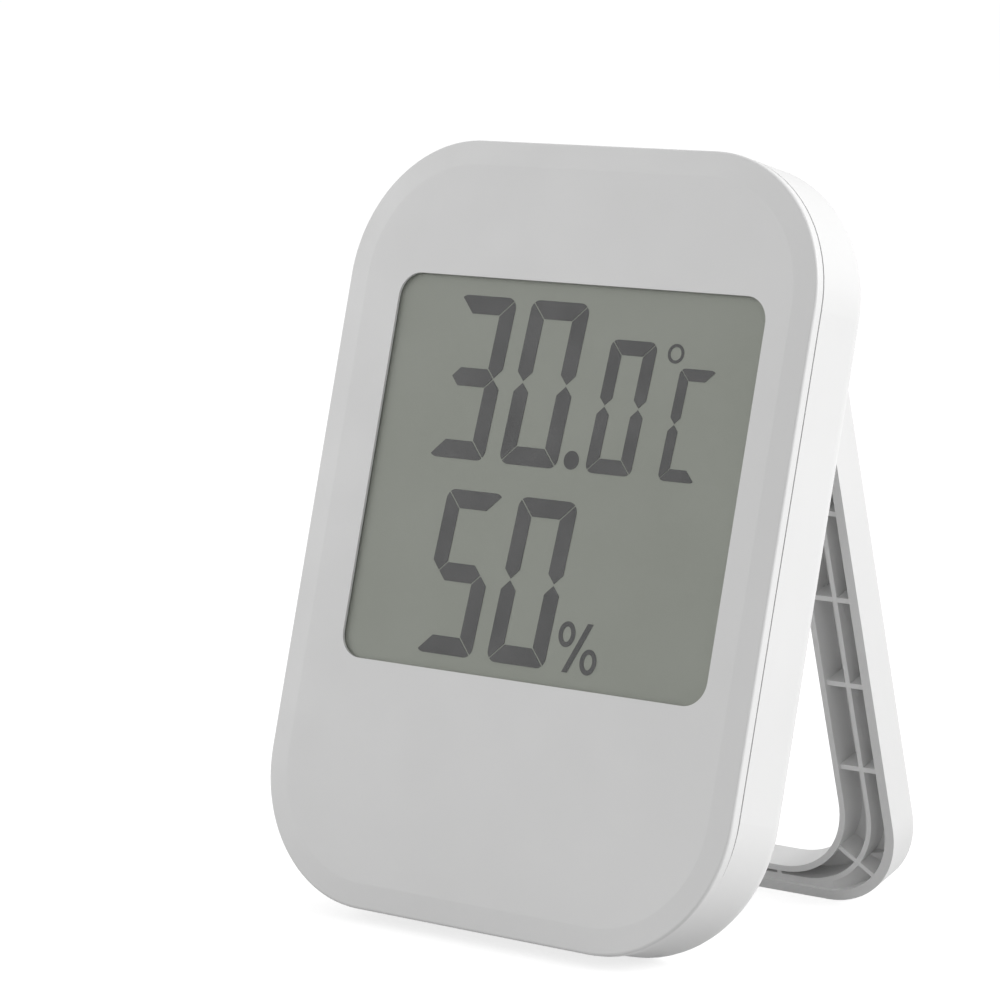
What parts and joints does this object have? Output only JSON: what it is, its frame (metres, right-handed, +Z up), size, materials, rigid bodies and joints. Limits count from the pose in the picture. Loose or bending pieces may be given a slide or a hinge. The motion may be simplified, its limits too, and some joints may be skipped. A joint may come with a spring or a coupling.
{
  "type": "temperature humidity sensor",
  "caption": "Flat white desk thermometer and hygrometer with a large segment display in a round-cornered case and a ribbed loop stand that folds behind it.",
  "frame": {"origin": "on the floor, under the middle of the part's bounding box with the stand open", "axes": "+Z up; the display looks towards -Y and leans back; +X to the right of someone who reads it"},
  "size_m": [0.0822, 0.0596, 0.1087],
  "materials": {
    "white_plastic": "fine satin moulded white",
    "grey_plastic": "fine satin moulded light grey",
    "clear_lens": "clear polished sheet",
    "black_tape": "matt adhesive tape",
    "polariser_film": "grey film",
    "panel_glass": "polished glass",
    "segment_ink": "dark display segments",
    "reflector_film": "grey-green diffusing reflector",
    "holder_plastic": "matt moulded",
    "strip_rubber": "matt silicone rubber",
    "board_laminate": "green solder mask",
    "screw_steel": "plated steel",
    "black_resin": "black resin",
    "can_metal": "bare metal can",
    "chip_ceramic": "matt ceramic",
    "sensor_plastic": "pale plastic box",
    "switch_steel": "stamped steel",
    "cell_can": "plain metal can",
    "contact_steel": "nickel-plated spring steel",
    "red_wire": "red insulation",
    "black_wire": "black insulation"
  },
  "bodies": {
    "case": {"battery_cell": "cell_can", "board_screws": "screw_steel", "buffer_capacitor": "can_metal", "case_screws": "screw_steel", "chip_parts": "chip_ceramic", "circuit_board": "board_laminate", "contact_strip": "strip_rubber", "controller_blob": "black_resin", "crystal_can": "can_metal", "display_lens": "clear_lens", "front_cover": "white_plastic", "humidity_sensor": "sensor_plastic", "lcd_front_glass": "panel_glass", "lcd_holder": "holder_plastic", "lcd_polariser": "polariser_film", "lcd_rear_glass": "panel_glass", "lcd_reflector": "reflector_film", "lcd_segments": "segment_ink", "lens_tape": "black_tape", "minus_contact": "contact_steel", "minus_lead": "black_wire", "minus_spring": "contact_steel", "plus_contact": "contact_steel", "plus_lead": "red_wire", "rear_cover": "white_plastic", "tact_switch": "switch_steel", "thermistor": "black_resin"},
    "stand": {"stand": "white_plastic"},
    "door": {"battery_door": "white_plastic"},
    "button": {"unit_button": "grey_plastic", "switch_plunger": "black_resin"}
  },
  "joints": [
    {"name": "stand_fold", "type": "hinge", "parent": "case", "child": "stand", "pos_m": [0, 0.00439, 0.07171], "axis": [1, 0, 0], "range_deg": [-32.46, 0]},
    {"name": "battery_door_tilt", "type": "hinge", "parent": "case", "child": "door", "pos_m": [0, -0.00962, 0.0131], "axis": [-1, 0, 0], "range_deg": [0, 75]},
    {"name": "unit_button_press", "type": "slide", "parent": "case", "child": "button", "axis": [0, -0.9671, 0.2543], "range_m": [0, 0.0005], "stiffness_N_per_m": 300}
  ]
}
